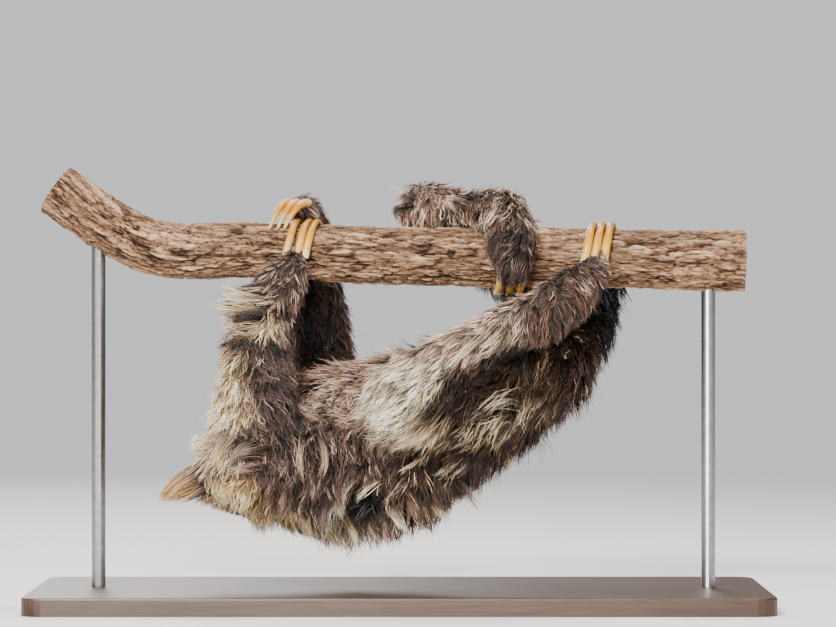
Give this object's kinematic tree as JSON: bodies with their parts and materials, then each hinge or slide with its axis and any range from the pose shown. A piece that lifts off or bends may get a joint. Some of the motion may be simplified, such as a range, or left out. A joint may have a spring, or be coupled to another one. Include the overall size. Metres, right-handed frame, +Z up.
{
  "type": "three-toed sloth model on a branch perch",
  "caption": "Life-size three-toed sloth hanging under a cut length of branch, on a flat display stand with two upright rods.",
  "frame": {"origin": "centre of the underside of the stand's base", "axes": "+Z up, +X along the branch from the animal's head end to its rump end, -Y towards the animal's right side"},
  "size_m": [0.73, 0.32, 0.4357],
  "materials": {
    "pale_coat": "soft hair",
    "brown_coat": "long coarse hair",
    "eye": "wet gloss",
    "nose": "fine pebbled skin",
    "claw": "smooth horn",
    "bark": "fissured bark",
    "stand_board": "satin dark lacquer",
    "stand_rod": "brushed"
  },
  "bodies": {
    "root": {"head": "pale_coat", "neck": "pale_coat", "ear_right": "pale_coat", "ear_left": "pale_coat", "eye_right": "eye", "eye_left": "eye", "nose": "nose", "trunk": "brown_coat", "tail": "brown_coat", "upper_arm_right": "brown_coat", "forearm_right": "brown_coat", "hand_right": "brown_coat", "upper_arm_left": "brown_coat", "forearm_left": "brown_coat", "hand_left": "brown_coat", "thigh_right": "brown_coat", "shin_right": "brown_coat", "foot_right": "brown_coat", "thigh_left": "brown_coat", "shin_left": "brown_coat", "foot_left": "brown_coat", "claw_hand_right_1": "claw", "claw_hand_right_2": "claw", "claw_hand_right_3": "claw", "claw_hand_left_1": "claw", "claw_hand_left_2": "claw", "claw_hand_left_3": "claw", "claw_foot_right_1": "claw", "claw_foot_right_2": "claw", "claw_foot_right_3": "claw", "claw_foot_left_1": "claw", "claw_foot_left_2": "claw", "claw_foot_left_3": "claw", "branch": "bark", "stand_base": "stand_board", "stand_rod_left": "stand_rod", "stand_rod_right": "stand_rod"}
  },
  "joints": []
}
